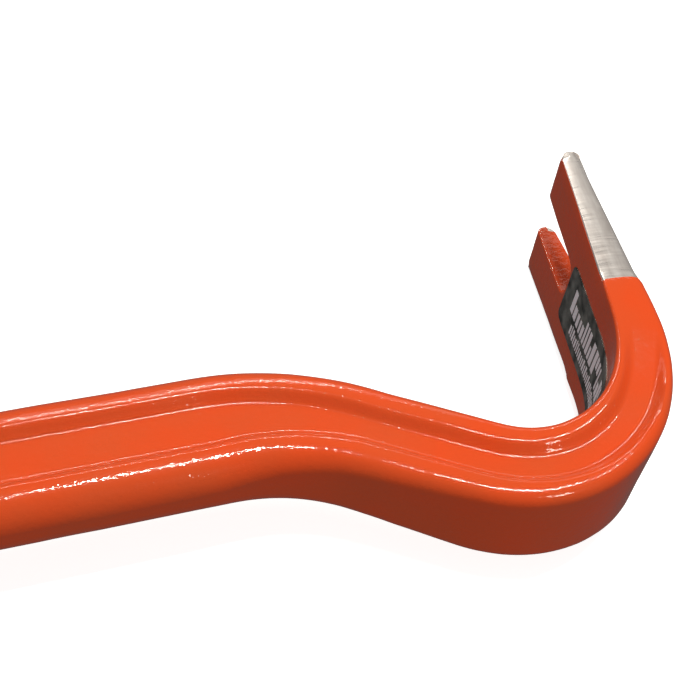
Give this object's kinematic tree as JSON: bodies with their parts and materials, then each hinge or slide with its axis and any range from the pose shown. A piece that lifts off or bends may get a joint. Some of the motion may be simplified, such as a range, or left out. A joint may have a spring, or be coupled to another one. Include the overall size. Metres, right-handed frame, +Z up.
{
  "type": "pry bar",
  "caption": "Gooseneck pry bar of fluted oval section with a notched claw at the hooked end and a chisel blade at the other.",
  "frame": {"origin": "bottom centre of the whole bar's box, with the bar lying on its side", "axes": "+X runs along the shank from the chisel end to the hooked end, the hook opens towards +Y, and +Z is up, along the claw's width"},
  "size_m": [0.6004, 0.0942, 0.0414],
  "materials": {
    "bar_steel": "belt-ground bare steel",
    "enamel": "glossy orange enamel with slight orange peel",
    "label_film": null
  },
  "bodies": {
    "root": {"forged_bar": "bar_steel", "enamel_coat": "enamel", "claw_label": "label_film"}
  },
  "joints": []
}
